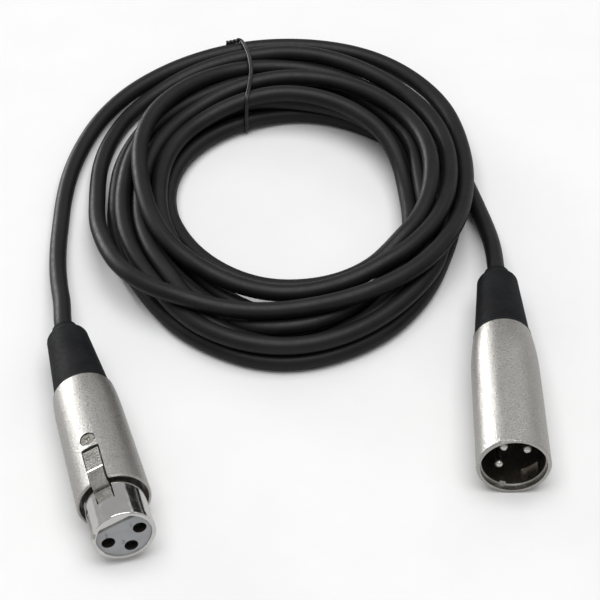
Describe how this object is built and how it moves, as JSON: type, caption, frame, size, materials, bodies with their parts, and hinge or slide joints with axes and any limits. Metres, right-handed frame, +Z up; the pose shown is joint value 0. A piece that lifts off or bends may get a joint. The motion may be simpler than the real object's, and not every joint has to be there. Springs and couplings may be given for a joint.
{
  "type": "microphone cable",
  "caption": "Black round audio cable in a flat tied coil, with a three-pin plug and a latching three-hole socket at its ends.",
  "frame": {"origin": "on the resting surface, at the bottom centre of the box round the two connectors; the cable, its coil and its tie are left out of that box", "axes": "+Z up from the resting surface; +X from the socket connector towards the plug connector; -Y the way the plug points; the coil lies towards +Y"},
  "size_m": [0.1334, 0.2064, 0.0196],
  "materials": {
    "jacket": "matt black flexible jacket with a soft sheen",
    "tie": "black plastic-covered wire",
    "satin_nickel": "satin nickel plate with a fine even grain",
    "polished_nickel": "polished nickel plate",
    "latch_metal": "satin nickel plate",
    "steel": "plain bright steel",
    "contact_metal": "plated contact metal",
    "grey_plastic": "grey moulded plastic",
    "black_plastic": "black moulded plastic",
    "boot_rubber": "matt black moulded boot",
    "clamp_plastic": "dark grey moulded plastic",
    "wire_screen": "twisted screen in a grey sleeve",
    "wire_red": "red insulated conductor",
    "wire_white": "white insulated conductor"
  },
  "bodies": {
    "cable": {"cable_coil": "jacket", "cable_tail_female": "jacket", "cable_tail_male": "jacket", "twist_tie": "tie", "female_shell": "satin_nickel", "female_nose": "polished_nickel", "female_insert": "grey_plastic", "female_contact_1": "contact_metal", "female_contact_2": "contact_metal", "female_contact_3": "contact_metal", "latch_pivot": "steel", "latch_spring": "steel", "female_screw": "steel", "female_boot": "boot_rubber", "female_clamp": "clamp_plastic", "female_wire_1": "wire_screen", "female_wire_2": "wire_red", "female_wire_3": "wire_white", "male_shell": "satin_nickel", "male_insert": "black_plastic", "male_pin_1": "contact_metal", "male_pin_2": "contact_metal", "male_pin_3": "contact_metal", "male_screw": "steel", "male_boot": "boot_rubber", "male_clamp": "clamp_plastic", "male_wire_1": "wire_screen", "male_wire_2": "wire_red", "male_wire_3": "wire_white"},
    "latch": {"latch_lever": "latch_metal"}
  },
  "joints": [
    {"name": "latch_press", "type": "hinge", "parent": "cable", "child": "latch", "pos_m": [-0.04912, -0.02603, 0.01494], "axis": [0.8932, 0.2487, 0.3745], "range_deg": [0, 4.5], "stiffness_Nm_per_rad": 0.05, "springref_deg": -8.59, "deforming": ["latch_spring"]}
  ]
}
